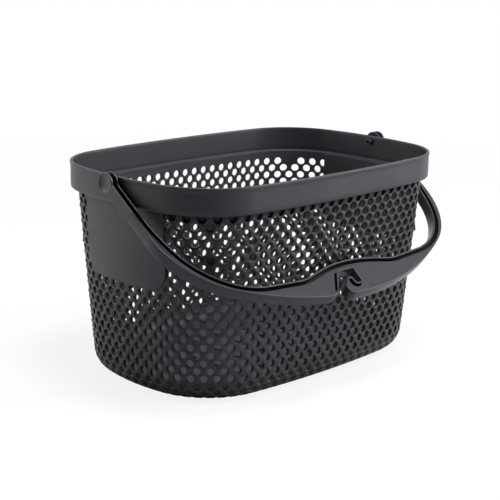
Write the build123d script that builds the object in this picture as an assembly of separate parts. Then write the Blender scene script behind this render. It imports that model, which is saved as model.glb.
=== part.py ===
from build123d import *
from math import acos, atan2, cos, degrees, hypot, radians, sin
import os

os.makedirs("parts", exist_ok=True)

# Driving sizes in mm and degrees. X runs along the long sides, Z is up and the floor stands on Z = 0.
# The handle hangs on the -Y side, which is called the front.

# Rim
basket_height = 220.0
rim_length = 382.0
rim_width = 262.0
rim_corner = 74.0
rim_depth = 27.7
rim_thickness = 2.6
lip_height = 3.0
lip_reach = 0.5
ledge_thickness = 2.5
rim_under_chamfer = 1.8
side_bow = 5.6
end_bow = 10.6

# Tub wall, leaning in from the rim's shoulder to the floor
shoulder_inset = 8.3
end_foot_inset = 5.6
side_foot_inset = 7.8
base_corner = 89.4
wall = 3.6
base_edge_radius = 22.0
base_edge_steps = 5
base_inner_steps = 4

# Flat facets of the walls, each as wide as one column of openings
side_facets = 15
corner_facets = 7
end_facets = 7

# Diamond openings of the walls and the floor, in rows that alternate between the columns
hole_half_width = 5.0
hole_half_height = 12.5
hole_rows = 7
row_pitch = 20.6
top_row_drop = 19.0
floor_columns = 5
floor_rows = 4
floor_pitch = 36.0

# Smooth panels on the short ends
panel_width = 119.0
panel_drop = 80.0
panel_corner = 20.0
panel_proud = 1.2

# Nesting lugs on the corners
lug_top = 142.0
lug_height = 11.0
lug_width = 10.0
lug_reach = 2.4

# Handle
handle_rest_gap = 2.72
pivot_drop = 6.6
arm_gap = 1.2
handle_thickness = 12.0
inner_wall = 2.0
groove = 4.4
outer_wall = 2.4
groove_depth = 7.0
head_radius = 10.8
head_rim = 2.0
head_dish = 0.8
hub_radius = 5.0
arm_end_gap = 7.8
stud_radius = 3.25
stud_bore = 1.9
stud_length = 8.7
pivot_clearance = 0.05

# Bow of the handle: reach is the distance from the pivot axis, and depth is counted back from that reach
bow_reach = 195.5
bow_bend = 90.0
bow_sweep = 28.187
hump_depth = 41.2
hump_radius = 180.0
hump_slope = 13.5
hump_flank = 16.0
crown_radius = 50.0
crown_fall = 4.0
bend_radius = 83.0
arm_curve = 165.0
arm_lean = 18.0
plate_thickness = 3.0
back_pocket_depth = 67.5

# Hook slot in the bow, with the thin walls and recesses along it
hook_left = -18.5
hook_depth = 29.9
hook_pocket_width = 22.0
hook_pocket_depth = 18.4
hook_side_lean = 40.0
hook_mouth_left = -38.0
hook_tongue_tip = -9.0
hook_tongue_depth = 20.5
hook_tongue_side = -21.0
hook_mouth_depth = 7.5
hook_wall = 1.6
slit_width = 2.6
slit_depth = 6.0
tongue_recess = 3.4

# Values that follow from the sizes above
shoulder_height = basket_height - rim_depth
pivot_height = basket_height - pivot_drop
arm_inside = rim_length / 2 + arm_gap
arm_outside = arm_inside + inner_wall + groove + outer_wall
half_thickness = handle_thickness / 2
bow_radius = bow_bend + (arm_outside - bow_bend) / sin(radians(bow_sweep))
hump_reach = bow_reach - hump_depth
hook_top = bow_reach - hook_depth
hook_tongue_top = bow_reach - hook_tongue_depth
hook_tongue_low = bow_reach - hook_mouth_depth
pocket_start = bow_reach - back_pocket_depth
RIM = (rim_length, rim_width, rim_corner)

# The handle hangs down until the inner edge of its bow is a gap away from the leaning front wall:
# reach_part * cos(hang_angle) + lean_part * sin(hang_angle) = wall_part
wall_slope = side_foot_inset / shoulder_height
foot_half_width = rim_width / 2 - shoulder_inset - side_foot_inset
reach_part = hump_reach + wall_slope * half_thickness
lean_part = wall_slope * hump_reach - half_thickness
wall_part = foot_half_width + wall_slope * pivot_height + handle_rest_gap
hang_angle = degrees(atan2(lean_part, reach_part) + acos(wall_part / hypot(reach_part, lean_part)))


def inset_outline(outline, distance):
    """The same bowed outline, moved inwards by a distance."""
    length, width, corner = outline
    return (length - 2 * distance, width - 2 * distance, corner - distance)


def tub_outline(height):
    """Outside of the tub wall at a height."""
    length, width, corner = inset_outline(RIM, shoulder_inset)
    down = 1 - height / shoulder_height
    return (
        length - 2 * end_foot_inset * down,
        width - 2 * side_foot_inset * down,
        corner + (base_corner - corner) * down,
    )


def bow_radii(outline):
    """Radii of the long side's arc and the short end's arc that run smoothly into the corner arcs."""
    length, width, corner = outline
    a = radians(side_bow)
    b = radians(end_bow)
    along = length / 2 - corner * (cos(b) - sin(a))
    across = width / 2 - corner * (cos(a) - sin(b))
    determinant = sin(a) * sin(b) - (1 - cos(b)) * (1 - cos(a))
    side = (along * sin(b) - across * (1 - cos(b))) / determinant
    end = (across * sin(a) - along * (1 - cos(a))) / determinant
    return side, end


def place(outline, turn):
    """Point of the outline where the outward normal is turned by so many degrees from -Y towards +X."""
    length, width, corner = outline
    side, end = bow_radii(outline)
    turn = turn % 360
    folded = min(turn, 360 - turn)
    quarter = min(folded, 180 - folded)
    a = radians(side_bow)
    b = radians(90 - end_bow)
    t = radians(quarter)
    if t <= a:
        x = side * sin(t)
        y = width / 2 - side * (1 - cos(t))
    elif t <= b:
        x = side * sin(a) + corner * (sin(t) - sin(a))
        y = width / 2 - side * (1 - cos(a)) - corner * (cos(a) - cos(t))
    else:
        x = length / 2 - end * (1 - sin(t))
        y = end * cos(t)
    return (x if turn <= 180 else -x, -y if folded <= 90 else y)


def arcs_between(outline, turns, height):
    """Arcs of the outline at a height, between turns that each lie on one arc."""
    edges = []
    for start, stop in zip(turns, turns[1:]):
        points = [(*place(outline, t), height) for t in (start, (start + stop) / 2, stop)]
        edges.append(Edge.make_three_point_arc(*points))
    return edges


def outline_face(outline, height):
    """Flat face that fills the whole outline at a height."""
    turns = []
    for middle, half in ((0, side_bow), (90, end_bow), (180, side_bow), (270, end_bow)):
        turns += [middle - half, middle + half]
    turns.append(360 - side_bow)
    return Face(Wire(arcs_between(outline, turns, height)))


def prism(outline, low, high):
    """Upright solid on the outline."""
    return extrude(outline_face(outline, low), high - low, dir=(0, 0, 1))


def make_rim():
    """Upright band on a shoulder, with a lip round its top edge and a hole for each pivot stud."""
    ledge = shoulder_height + ledge_thickness
    face = inset_outline(RIM, lip_reach)
    inside = inset_outline(RIM, lip_reach + rim_thickness)
    under = inset_outline(face, rim_under_chamfer)
    slope_high = shoulder_height + rim_under_chamfer
    band = loft([outline_face(under, shoulder_height), outline_face(face, slope_high)], ruled=True)
    band += prism(face, slope_high, basket_height)
    band -= prism(inside, ledge, basket_height)
    band -= prism(inset_outline(RIM, shoulder_inset + wall), shoulder_height, ledge)
    lip_low = basket_height - lip_height
    band += prism(RIM, lip_low, basket_height) - prism(face, lip_low, basket_height)
    holes = Cylinder(stud_radius + pivot_clearance, 2 * rim_length, rotation=(0, 90, 0))
    return band - Pos(0, 0, pivot_height) * holes


def facet_turns(middle, half, facets):
    """Turns at the edges of equal facets either side of a middle."""
    return [middle + half * (2 * i / facets - 1) for i in range(facets + 1)]


def side_turns(middle):
    """Turns at the edges of a long side's facets."""
    return facet_turns(middle, side_bow, side_facets)


def end_turns(middle):
    """Turns at the edges of a short end's facets."""
    return facet_turns(middle, end_bow, end_facets)


def corner_turns(quarter):
    """Turns at the edges of a corner's facets: front right, back right, back left or front left."""
    middle = 45 + (side_bow - end_bow) / 2
    middle = (middle, 180 - middle, 180 + middle, 360 - middle)[quarter]
    return facet_turns(middle, 45 - (side_bow + end_bow) / 2, corner_facets)


def ring_turns():
    """Turns at the edges of all facets round the tub."""
    turns = []
    for quarter, middle in enumerate((0, 90, 180, 270)):
        straight = side_turns(middle) if middle % 180 == 0 else end_turns(middle)
        turns += [*straight[:-1], *corner_turns(quarter)[:-1]]
    return turns


def flat_sided(loops):
    """Solid through closed loops of points, with a flat facet between each two points and the next loop."""
    faces = [loops[0], loops[-1]]
    for lower, upper in zip(loops, loops[1:]):
        faces += [[lower[i - 1], lower[i], upper[i], upper[i - 1]] for i in range(len(lower))]
    return Solid(Shell([Face(Wire.make_polygon(points)) for points in faces]))


def section(turns, low, high, outward, thickness):
    """Leaning wall with a flat facet between each two turns, its outside moved outwards."""
    loops = []
    for height in (low, high):
        outside = inset_outline(tub_outline(height), -outward)
        inside = inset_outline(outside, thickness)
        loop = [(*place(outside, t), height) for t in turns]
        loop += [(*place(inside, t), height) for t in reversed(turns)]
        loops.append(loop)
    return flat_sided(loops)


def facet_middle(height, start, stop):
    """Middle of the tub's facet between two turns, at a height."""
    outline = tub_outline(height)
    return [sum(pair) / 2 for pair in zip(place(outline, start), place(outline, stop))]


def opening(start, stop, height):
    """Diamond-shaped cutter in the middle of the facet between two turns."""
    x, y = facet_middle(height, start, stop)
    turn = radians((start + stop) / 2)
    spot = Plane((x, y, height), x_dir=(cos(turn), sin(turn), 0), z_dir=(sin(turn), -cos(turn), 0))
    return extrude(spot * diamond(), 2 * wall, both=True)


def diamond():
    """Outline of one opening, standing on its point."""
    points = [(hole_half_width, 0), (0, hole_half_height), (-hole_half_width, 0), (0, -hole_half_height)]
    return make_face(Polyline(*points, close=True))


def openings(turns, ceiling, first_facet=0, solid_facet=None, solid_height=0):
    """Cutters for every second facet of each row, below a ceiling and clear of a solid place on one facet."""
    cutters = []
    for row in range(hole_rows):
        height = shoulder_height - top_row_drop - row * row_pitch
        for facet, (start, stop) in enumerate(zip(turns, turns[1:])):
            on_solid = facet == solid_facet and abs(height - solid_height) < lug_height + hole_half_height
            in_row = (facet + row + first_facet) % 2 == 0
            if in_row and height + hole_half_height < ceiling and not on_solid:
                cutters.append(opening(start, stop, height))
    return cutters


def make_wall(turns, ceiling, *pattern):
    """Perforated wall between the rim and the rounded lower edge."""
    return section(turns, base_edge_radius, shoulder_height, 0, wall) - openings(turns, ceiling, *pattern)


def make_side(middle):
    """Long perforated side, from corner to corner."""
    return make_wall(side_turns(middle), shoulder_height)


def make_end(middle):
    """Short end, perforated below its smooth panel."""
    return make_wall(end_turns(middle), shoulder_height - panel_drop)


def make_corner(quarter):
    """Rounded perforated corner between a side and an end, solid behind its lug."""
    lug_middle = lug_top - lug_height / 2
    return make_wall(corner_turns(quarter), shoulder_height, 1, corner_facets // 2, lug_middle)


def rounded_block(outline, low, radius, steps):
    """Solid inside the outline that ends in a rounded lower edge, made of rows of flat facets."""
    loops = []
    for step in range(steps + 1):
        angle = radians(90 * step / steps)
        edge = inset_outline(outline, radius * (1 - sin(angle)))
        height = low + radius * (1 - cos(angle))
        loops.append([(*place(edge, turn), height) for turn in ring_turns()])
    return flat_sided(loops)


def make_base():
    """Floor with a rounded lower edge and a lattice of openings."""
    outline = tub_outline(base_edge_radius)
    pan = rounded_block(outline, 0, base_edge_radius, base_edge_steps)
    pan -= rounded_block(inset_outline(outline, wall), wall, base_edge_radius - wall, base_inner_steps)
    cutters = []
    for row in range(floor_rows):
        y = (row - (floor_rows - 1) / 2) * floor_pitch
        for column in range(floor_columns):
            x = (column - (floor_columns - 1) / 2) * floor_pitch
            cutters.append(extrude(Pos(x, y, 0) * diamond(), 2 * wall, both=True))
    return pan - cutters


def make_panel(side):
    """Smooth raised panel on one end, rounded at its lower corners."""
    middle = 90 * side
    facet = (90 - side_bow - end_bow) / corner_facets
    turns = [middle - end_bow - facet, *end_turns(middle), middle + end_bow + facet]
    skin = section(turns, shoulder_height - panel_drop, shoulder_height, panel_proud, panel_proud)
    shape = Pos(0, -panel_drop / 2) * Rectangle(panel_width, panel_drop)
    shape = fillet(shape.vertices().group_by(Axis.Y)[0], panel_corner)
    face = Plane((0, 0, shoulder_height), x_dir=(0, 1, 0), z_dir=(1, 0, 0))
    return skin & extrude(face * shape, side * rim_length, dir=(1, 0, 0))


def make_lugs():
    """Wedge on each corner with a flat underside, which rests on the rim of the next basket in a stack."""
    lugs = []
    low = lug_top - lug_height
    for quarter in range(4):
        turns = corner_turns(quarter)
        first, last = turns[corner_facets // 2:corner_facets // 2 + 2]
        block = section([first, last], base_edge_radius, shoulder_height, 0, wall)
        x, y = facet_middle(low, first, last)
        top_x, top_y = facet_middle(lug_top, first, last)
        turn = radians((first + last) / 2)
        out = (sin(turn), -cos(turn), 0)
        side = Plane((x, y, low), x_dir=out, z_dir=(out[1], -out[0], 0))
        back = -wall / 2
        lean = hypot(top_x - x, top_y - y)
        points = [(back, 0), (lug_reach, 0), (lean, lug_height), (back, lug_height)]
        wedge = make_face(Polyline(*points, close=True))
        lugs.append(extrude(side * wedge, lug_width / 2, both=True) - block)
    return Compound([s for lug in lugs for s in lug.solids()])


def both_halves(edges):
    """Edges of the right half and their mirror images."""
    return [*edges, *(mirror(e, about=Plane.YZ) for e in edges)]


def channel_curve(offset):
    """Curved part of the handle's inner edge in the right half, moved outwards by an offset."""
    hump = JernArc((0, -hump_reach - offset), (1, 0), hump_radius - offset, -hump_slope)
    flank = PolarLine(hump @ 1, hump_flank, direction=hump % 1)
    crown = JernArc(flank @ 1, flank % 1, crown_radius + offset, hump_slope + crown_fall)
    bend_turn = 90 - arm_lean - crown_fall
    bend_run = (bend_radius + offset) * (cos(radians(arm_lean)) - sin(radians(crown_fall)))
    arm_run = (arm_curve + offset) * (1 - cos(radians(arm_lean)))
    fall_run = arm_inside + offset - (crown @ 1).X - bend_run - arm_run
    fall = PolarLine(crown @ 1, fall_run / cos(radians(crown_fall)), direction=crown % 1)
    bend = JernArc(fall @ 1, fall % 1, bend_radius + offset, bend_turn)
    lean = JernArc(bend @ 1, bend % 1, arm_curve + offset, arm_lean)
    return [hump, flank, crown, fall, bend, lean]


# The arms end a little before the handle's inner edge starts to curve
arm_length = -(channel_curve(0)[-1] @ 1).Y - arm_end_gap


def inside_channel(offset):
    """Area inside the handle's inner edge, moved outwards by an offset, in the handle's plane."""
    curve = channel_curve(offset)
    side = arm_inside + offset
    arm = Line(curve[-1] @ 1, (side, -arm_length))
    top = Line((side, -arm_length), (0, -arm_length))
    return make_face(both_halves([*curve, arm, top]))


def inside_bow(inset):
    """Area inside the handle's outer edge, moved inwards by an inset, in the handle's plane."""
    sweep = JernArc((0, inset - bow_reach), (1, 0), bow_radius - inset, bow_sweep)
    bend = JernArc(sweep @ 1, sweep % 1, bow_bend - inset, 90 - bow_sweep)
    arm = Line(bend @ 1, (arm_outside - inset, -arm_length))
    top = Line((arm_outside - inset, -arm_length), (0, -arm_length))
    return make_face(both_halves([sweep, bend, arm, top]))


def hook_slot():
    """Slot of the hook, open at the bow's outer edge, with a pocket behind its tongue."""
    pocket_right = hook_left + hook_pocket_width
    pocket_low = hook_top + hook_pocket_depth
    mouth = bow_reach + 2 * head_radius
    run = (mouth - hook_tongue_low) * sin(radians(hook_side_lean))
    corners = [
        (hook_left, -hook_top),
        (pocket_right, -hook_top),
        (pocket_right - 1.5, -pocket_low),
        (pocket_right - 8, -pocket_low),
        (hook_tongue_tip, -hook_tongue_top),
        (hook_tongue_side + 2, -pocket_low + 2),
        (hook_tongue_side, -hook_tongue_low),
        (hook_tongue_side + run, -mouth),
        (hook_mouth_left - 2 * run, -mouth),
        (hook_mouth_left, -hook_tongue_low),
    ]
    slot = make_face(Polyline(*corners, close=True))
    pocket = [v for v in slot.vertices() if v.X > hook_tongue_tip + 1 and v.Y > -mouth + 1]
    slot = fillet(pocket, 2.6)
    tip = [v for v in slot.vertices() if abs(v.X - hook_tongue_tip) < 0.1]
    slot = fillet(tip, 1.6)
    lobe = [v for v in slot.vertices() if abs(v.X - hook_mouth_left) < 0.1]
    slot = fillet(lobe, 12.0)
    return slot


def hook_recesses():
    """Slit along the slot's straight side and a recess inside its tongue."""
    side_run = hook_mouth_left - hook_left
    side_drop = hook_tongue_low - hook_top
    start = (hook_left - hook_wall - slit_width, -hook_top)
    slit = make_face(Polyline(
        start,
        (start[0] + slit_width, start[1]),
        (start[0] + slit_width + side_run, start[1] - side_drop),
        (start[0] + side_run, start[1] - side_drop),
        close=True,
    ))
    pocket_low = hook_top + hook_pocket_depth
    low = pocket_low + hook_wall
    crescent = make_face(Polyline(
        (hook_tongue_tip - 1, -hook_tongue_top - 2 * hook_wall),
        (hook_tongue_tip + 5, -low),
        (hook_tongue_tip + 11, -low),
        (hook_tongue_tip + 9, -low - tongue_recess),
        (hook_tongue_tip + 3, -low - tongue_recess),
        (hook_tongue_tip - 2, -low + tongue_recess),
        close=True,
    ))
    return slit, crescent


def slab(face, low, high):
    """Solid on a face of the handle's plane, between two levels across the handle."""
    return extrude(Pos(0, 0, low) * face, high - low, dir=(0, 0, 1))


def make_bow():
    """Broad bow with the groove on its upper face, a hollow back and the hook slot."""
    top = half_thickness
    plate = top - plate_thickness
    outer_side = inner_wall + groove
    bow = slab(inside_bow(0) - inside_channel(0), -top, top)
    bow -= slab(inside_channel(outer_side) - inside_channel(inner_wall), top - groove_depth, top)
    slot = hook_slot()
    slit, crescent = hook_recesses()
    upper = Pos(0, -pocket_start / 2) * Rectangle(3 * arm_outside, pocket_start)
    pocket = inside_bow(outer_wall) - inside_channel(outer_side + inner_wall) - upper
    pocket -= offset(slot, hook_wall)
    pocket -= offset(slit, hook_wall)
    pocket -= offset(crescent, hook_wall)
    bow -= slab(pocket, -top, plate)
    bow -= slab(slot, -top, top)
    bow -= slab(slit, top - slit_depth, top)
    bow -= slab(crescent, top - slit_depth, top)
    return bow


def make_arm(side):
    """Channel arm with a round head whose groove runs on round its end."""
    outline = Rectangle(arm_length, handle_thickness, align=(Align.MIN, Align.CENTER)) + Circle(head_radius)
    across = Plane((0, 0, 0), x_dir=(0, -1, 0), z_dir=(1, 0, 0))
    first = arm_inside
    second = arm_inside + inner_wall + groove
    arm = extrude(across.offset(first) * outline, inner_wall)
    arm += extrude(across.offset(second) * outline, outer_wall)
    web_height = handle_thickness - groove_depth
    web = Pos(head_radius, groove_depth / 2) * Rectangle(
        arm_length - head_radius, web_height, align=(Align.MIN, Align.CENTER))
    arm += extrude(across.offset(first + inner_wall) * web, groove)
    arm += extrude(across.offset(first + inner_wall) * RegularPolygon(hub_radius, 12), groove)
    arm -= extrude(across.offset(arm_outside - head_dish) * Circle(head_radius - head_rim), head_dish)
    return arm if side > 0 else mirror(arm, about=Plane.YZ)


def make_stud(side):
    """Hollow stud that passes through the rim and stands out inside it."""
    across = Plane((arm_inside, 0, 0), x_dir=(0, -1, 0), z_dir=(-1, 0, 0))
    stud = extrude(across * Circle(stud_radius), stud_length)
    stud -= extrude(across.offset(inner_wall) * Circle(stud_bore), stud_length)
    return stud if side > 0 else mirror(stud, about=Plane.YZ)


def hang(shape):
    """Move a handle piece from the handle's plane to where it hangs."""
    tilt = radians(hang_angle)
    plane = Plane((0, 0, pivot_height), x_dir=(1, 0, 0), z_dir=(0, -sin(tilt), cos(tilt)))
    return plane.location * shape


nodes = {
    "rim_band": make_rim(),
    "front_wall": make_side(0),
    "back_wall": make_side(180),
    "right_end_wall": make_end(90),
    "left_end_wall": make_end(270),
    "front_right_corner": make_corner(0),
    "back_right_corner": make_corner(1),
    "back_left_corner": make_corner(2),
    "front_left_corner": make_corner(3),
    "base_pan": make_base(),
    "left_end_panel": make_panel(-1),
    "right_end_panel": make_panel(1),
    "nesting_lugs": make_lugs(),
    "handle_bow": hang(make_bow()),
    "handle_left_arm": hang(make_arm(-1)),
    "handle_right_arm": hang(make_arm(1)),
    "left_pivot_stud": hang(make_stud(-1)),
    "right_pivot_stud": hang(make_stud(1)),
}

for name, shape in nodes.items():
    export_step(shape, f"parts/{name}.step")
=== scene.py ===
"""Charcoal harvest basket with a swinging hook handle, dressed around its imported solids."""
import logging
from dataclasses import dataclass, field
from enum import Enum
from math import cos, pi, radians, sin
from typing import Any, Callable, Sequence

import bpy
import numpy as np
from mathutils import Matrix, Vector
from mathutils.geometry import delaunay_2d_cdt


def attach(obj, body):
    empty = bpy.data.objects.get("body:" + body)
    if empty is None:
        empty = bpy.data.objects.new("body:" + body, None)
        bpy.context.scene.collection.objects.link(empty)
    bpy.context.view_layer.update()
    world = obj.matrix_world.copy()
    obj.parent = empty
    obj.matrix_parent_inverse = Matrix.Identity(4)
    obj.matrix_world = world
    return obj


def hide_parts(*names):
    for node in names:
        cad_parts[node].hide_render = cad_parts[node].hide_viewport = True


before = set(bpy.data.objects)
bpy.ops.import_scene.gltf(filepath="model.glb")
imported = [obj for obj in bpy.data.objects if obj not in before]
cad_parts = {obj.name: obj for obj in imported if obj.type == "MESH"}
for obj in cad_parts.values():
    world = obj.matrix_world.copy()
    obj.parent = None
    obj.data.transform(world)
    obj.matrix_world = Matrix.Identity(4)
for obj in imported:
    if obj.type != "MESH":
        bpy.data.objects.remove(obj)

Array = np.ndarray
Mapping = Callable[[Array], Array]
Pair = tuple[float, float]
Triple = tuple[float, float, float]
Sizes = tuple[Array, Array, Array]
Material = bpy.types.Material
Socket = bpy.types.NodeSocket

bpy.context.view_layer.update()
MM = 0.001
FLAT_MARGIN = 0.15
PIVOT_HEIGHT = 213.4
LOG = logging.getLogger("basket")


def ring_faces(rows: int, columns: int, closed: bool = True) -> Array:
    """Quads between rings that follow each other, counted row by row.

    Args:
        rows: number of rings.
        columns: points in each ring.
        closed: whether each ring runs back into its first point.

    Returns:
        Corner numbers of the quads, one row per quad.
    """
    spans = columns if closed else columns - 1
    row, column = np.meshgrid(np.arange(rows - 1), np.arange(spans), indexing="ij")
    after = (column + 1) % columns
    near, far = row * columns, (row + 1) * columns
    return np.stack([c.ravel() for c in (near + column, near + after, far + after, far + column)], axis=1)


@dataclass
class Shape:
    """Points in millimetres with their faces, gathered part by part and welded at the end."""

    points: list[Array] = field(default_factory=list)
    faces: list[Array] = field(default_factory=list)
    total: int = 0

    def add(self, points: Array, faces: Array) -> None:
        """Adds points and the faces between them.

        Args:
            points: one row of three coordinates per point.
            faces: corner numbers within these points, one row of three or four per face.
        """
        self.points.append(np.asarray(points, float).reshape(-1, 3))
        self.faces.append(np.asarray(faces, np.int64) + self.total)
        self.total += len(self.points[-1])

    def add_rings(self, rings: Array) -> None:
        """Adds a skin over closed rings of points, with outward faces where the rings turn to the left."""
        self.add(rings, ring_faces(rings.shape[0], rings.shape[1]))

    def welded(self) -> tuple[Array, Array, Array]:
        """Merges points that coincide and drops faces that collapse.

        Returns:
            Points, quads and triangles.
        """
        points = np.concatenate(self.points)
        _, first, index = np.unique(np.round(points, 3), axis=0, return_index=True, return_inverse=True)
        index = index.ravel()
        quads = np.concatenate([index[f] for f in self.faces if f.shape[1] == 4])
        triangles = [index[f] for f in self.faces if f.shape[1] == 3]
        same = quads == np.roll(quads, -1, axis=1)
        for corner in range(4):
            folded = same[:, corner] & (same.sum(axis=1) == 1)
            triangles.append(np.delete(quads[folded], corner, axis=1))
        quads = quads[~same.any(axis=1)]
        triangles = np.concatenate(triangles)
        whole = (triangles != np.roll(triangles, -1, axis=1)).all(axis=1)
        return points[first], quads, triangles[whole]

    def build(self, name: str, finish: Material, body: str, node: str, sharp: float = 40.0) -> None:
        """Makes the piece, smooth apart from edges past an angle, ties it to its body and hides the solid it
        replaces.

        Args:
            name: name of the piece.
            finish: its material.
            body: CAD body that it moves with.
            node: CAD node that it replaces.
            sharp: angle in degrees past which an edge stays sharp.
        """
        points, quads, triangles = self.welded()
        sizes = np.concatenate([np.full(len(quads), 4), np.full(len(triangles), 3)])
        corners = np.concatenate([quads.ravel(), triangles.ravel()])
        mesh = bpy.data.meshes.new(name)
        mesh.vertices.add(len(points))
        mesh.vertices.foreach_set("co", (points * MM).ravel())
        mesh.loops.add(len(corners))
        mesh.loops.foreach_set("vertex_index", corners.astype(np.int32))
        mesh.polygons.add(len(sizes))
        mesh.polygons.foreach_set("loop_start", np.concatenate([[0], np.cumsum(sizes)[:-1]]).astype(np.int32))
        mesh.update(calc_edges=True)
        mesh.validate()
        mesh.shade_smooth()
        mesh.set_sharp_from_angle(angle=radians(sharp))
        mesh.materials.append(finish)
        piece = bpy.data.objects.new(name, mesh)
        bpy.context.scene.collection.objects.link(piece)
        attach(piece, body)
        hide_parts(node)
        LOG.info("%s: %d faces on %s", name, len(mesh.polygons), body)


def circle(radius: float, count: int) -> Array:
    """Points of a circle round the origin, turning to the left."""
    angle = np.arange(count) * 2 * pi / count
    return radius * np.column_stack([np.cos(angle), np.sin(angle)])


def with_height(flat: Array, height: float) -> Array:
    """Flat points with a third coordinate."""
    return np.column_stack([flat, np.full(len(flat), height)])


def inset_contour(contour: Array, distance: float, shortest: float = 0.8) -> Array:
    """Moves a closed contour that turns to the left inwards, each corner along its mitre.

    Args:
        contour: points of the contour, one row of two per point.
        distance: how far to move it, negative for outwards.
        shortest: least square of the sum of a corner's two normals, which keeps sharp mitres short.

    Returns:
        The moved points.
    """
    before = contour - np.roll(contour, 1, axis=0)
    after = np.roll(contour, -1, axis=0) - contour
    before = before / np.linalg.norm(before, axis=1, keepdims=True)
    after = after / np.linalg.norm(after, axis=1, keepdims=True)
    inward = np.stack([-before[:, 1] - after[:, 1], before[:, 0] + after[:, 0]], axis=1)
    length = np.maximum((inward ** 2).sum(axis=1, keepdims=True), shortest)
    return contour + 2 * distance * inward / length


def rounded_corners(corners: Sequence[Triple], step: float) -> Array:
    """Path through corners, each replaced by an arc of its own radius.

    Args:
        corners: x, y and radius of each corner; the first and last stay as they are.
        step: angle in degrees between points on an arc.

    Returns:
        Points of the path.
    """
    path = [np.array([corners[0][:2]])]
    for left, (x, y, radius), right in zip(corners, corners[1:], corners[2:]):
        corner = np.array((x, y))
        if radius <= 0:
            path.append(corner[None])
            continue
        back = np.array(left[:2]) - corner
        ahead = np.array(right[:2]) - corner
        back = back / np.linalg.norm(back)
        ahead = ahead / np.linalg.norm(ahead)
        turn = pi - np.arccos(np.clip(back @ ahead, -1, 1))
        reach = radius * np.tan(turn / 2)
        side = np.sign(back[0] * ahead[1] - back[1] * ahead[0])
        middle = corner + back * reach + radius * side * np.array((-back[1], back[0]))
        count = max(2, int(np.ceil(np.degrees(turn) / step)) + 1)
        start = corner + back * reach - middle
        square = np.array((-start[1], start[0]))
        angle = np.linspace(0, turn, count)[:, None] * -side
        path.append(middle + np.cos(angle) * start + np.sin(angle) * square)
    path.append(np.array([corners[-1][:2]]))
    return np.concatenate(path)


def evened(contour: Array, step: float) -> Array:
    """Closed contour with points added evenly along its long straight runs.

    Args:
        contour: points of the contour.
        step: longest run without a point.

    Returns:
        The contour with its added points.
    """
    run = np.roll(contour, -1, axis=0) - contour
    counts = np.maximum(1, np.ceil(np.linalg.norm(run, axis=1) / step)).astype(int)
    owner = np.repeat(np.arange(len(contour)), counts)
    number = np.arange(len(owner)) - (np.cumsum(counts) - counts)[owner]
    return contour[owner] + run[owner] * (number / counts[owner])[:, None]


def inside_loop(points: Array, loop: Array) -> Array:
    """Whether points lie inside a closed loop, by how often a line to the right crosses it.

    Args:
        points: one row of two per point.
        loop: points of the loop.

    Returns:
        One truth value per point.
    """
    ahead = np.roll(loop, -1, axis=0)
    x, y = points[:, :1], points[:, 1:]
    spans = (loop[:, 1] > y) != (ahead[:, 1] > y)
    rise = np.where(ahead[:, 1] == loop[:, 1], 1.0, ahead[:, 1] - loop[:, 1])
    cross = loop[:, 0] + (y - loop[:, 1]) / rise * (ahead[:, 0] - loop[:, 0])
    return (spans & (cross > x)).sum(axis=1) % 2 == 1


def filled(loops: Sequence[Array], spots: Array | None = None, nearest: float = 1e-5) -> tuple[Array, Array]:
    """Triangles that fill the first loop apart from the others.

    Args:
        loops: closed contours, the outer one first.
        spots: further points inside, for a cap that is bent afterwards.
        nearest: distance within which points count as one.

    Returns:
        Points and triangles that turn to the left.
    """
    exact = np.concatenate([*loops] + ([spots] if spots is not None else []))
    # The triangulation works in single precision, so the inside test gets the same rounded points
    points = exact.astype(np.float32).astype(float)
    numbers = np.split(np.arange(len(points)), np.cumsum([len(loop) for loop in loops]))[:len(loops)]
    edges = [pair for ring in numbers for pair in zip(ring.tolist(), np.roll(ring, -1).tolist())]
    flat = [Vector(point) for point in points]
    _, _, faces, origins, _, _ = delaunay_2d_cdt(flat, edges, [], 0, nearest)
    source = np.array([origin[0] for origin in origins])
    triangles = source[np.array(faces, np.int64)]
    middle = points[triangles].mean(axis=1)
    outer, *holes = (inside_loop(middle, points[ring]) for ring in numbers)
    triangles = triangles[outer & ~np.any([np.zeros_like(outer), *holes], axis=0)]
    a, b, c = (points[triangles[:, i]] for i in range(3))
    area = (b[:, 0] - a[:, 0]) * (c[:, 1] - a[:, 1]) - (b[:, 1] - a[:, 1]) * (c[:, 0] - a[:, 0])
    triangles[area < 0] = triangles[area < 0][:, ::-1]
    return exact, triangles


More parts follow.
